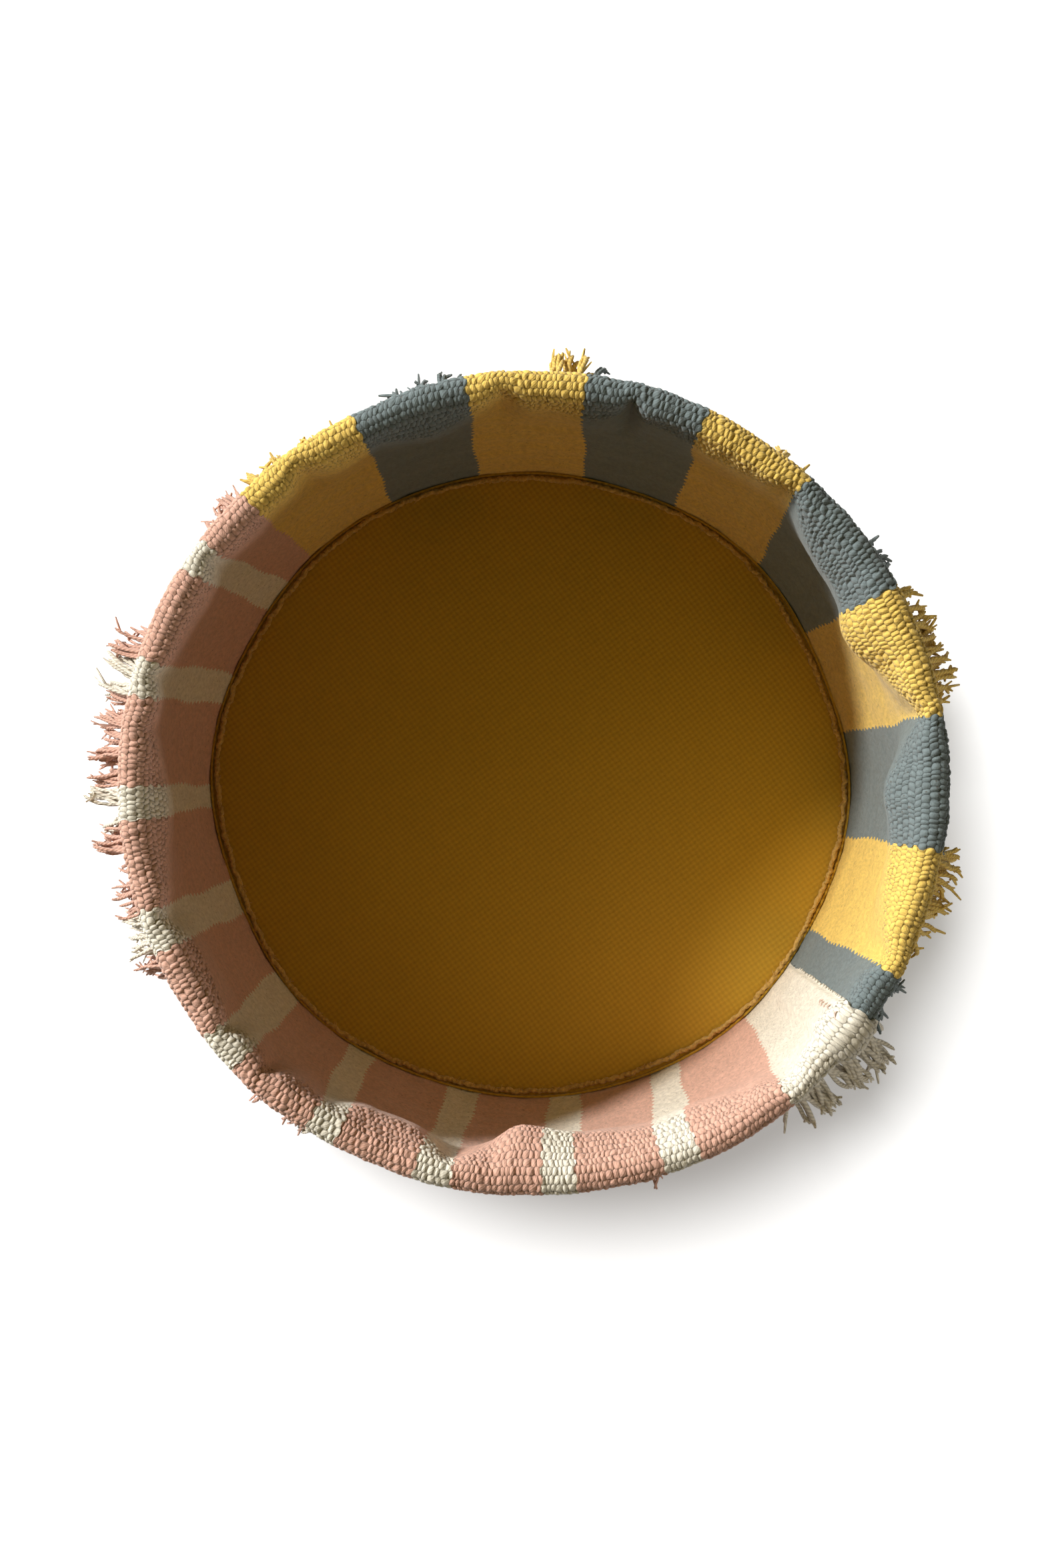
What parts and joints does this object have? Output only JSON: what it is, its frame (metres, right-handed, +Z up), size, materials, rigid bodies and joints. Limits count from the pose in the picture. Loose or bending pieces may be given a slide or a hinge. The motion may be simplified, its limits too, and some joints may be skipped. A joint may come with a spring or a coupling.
{
  "type": "storage basket",
  "caption": "Low round storage basket of thick striped cotton cloth, with a folded rim, a loose fringe round the outside and a flat canvas base.",
  "frame": {"origin": "Middle of the canvas underside, on the surface that the basket stands on.", "axes": "+Z is up, out of the open top. +Y is towards the top of the basket as it is seen from straight above, with +X to the right, so the lap of the strip is at 35 degrees below +X."},
  "size_m": [0.4453, 0.4241, 0.2024],
  "materials": {
    "cotton_yellow": "matt weft-faced cotton",
    "cotton_grey": "matt weft-faced cotton",
    "cotton_pink": "matt weft-faced cotton",
    "cotton_cream": "matt weft-faced cotton",
    "canvas_mustard": "matt plain-woven canvas",
    "canvas_raw_edge": "frayed cut edge of canvas",
    "board": "dull grey board"
  },
  "bodies": {
    "root": {"wall_yellow_1": "cotton_yellow", "wall_yellow_2": "cotton_yellow", "wall_yellow_3": "cotton_yellow", "wall_yellow_4": "cotton_yellow", "wall_yellow_5": "cotton_yellow", "wall_grey_1": "cotton_grey", "wall_grey_2": "cotton_grey", "wall_grey_3": "cotton_grey", "wall_grey_4": "cotton_grey", "wall_grey_5": "cotton_grey", "wall_pink_1": "cotton_pink", "wall_pink_2": "cotton_pink", "wall_pink_3": "cotton_pink", "wall_pink_4": "cotton_pink", "wall_pink_5": "cotton_pink", "wall_pink_6": "cotton_pink", "wall_pink_7": "cotton_pink", "wall_pink_8": "cotton_pink", "wall_pink_9": "cotton_pink", "wall_pink_10": "cotton_pink", "wall_cream_1": "cotton_cream", "wall_cream_2": "cotton_cream", "wall_cream_3": "cotton_cream", "wall_cream_4": "cotton_cream", "wall_cream_5": "cotton_cream", "wall_cream_6": "cotton_cream", "wall_cream_7": "cotton_cream", "wall_cream_8": "cotton_cream", "wall_cream_9": "cotton_cream", "wall_cream_end_block": "cotton_cream", "base_canvas_floor": "canvas_mustard", "base_canvas_border": "canvas_mustard", "base_welt": "canvas_raw_edge", "base_stiffener": "board", "base_canvas_under": "canvas_mustard"}
  },
  "joints": []
}
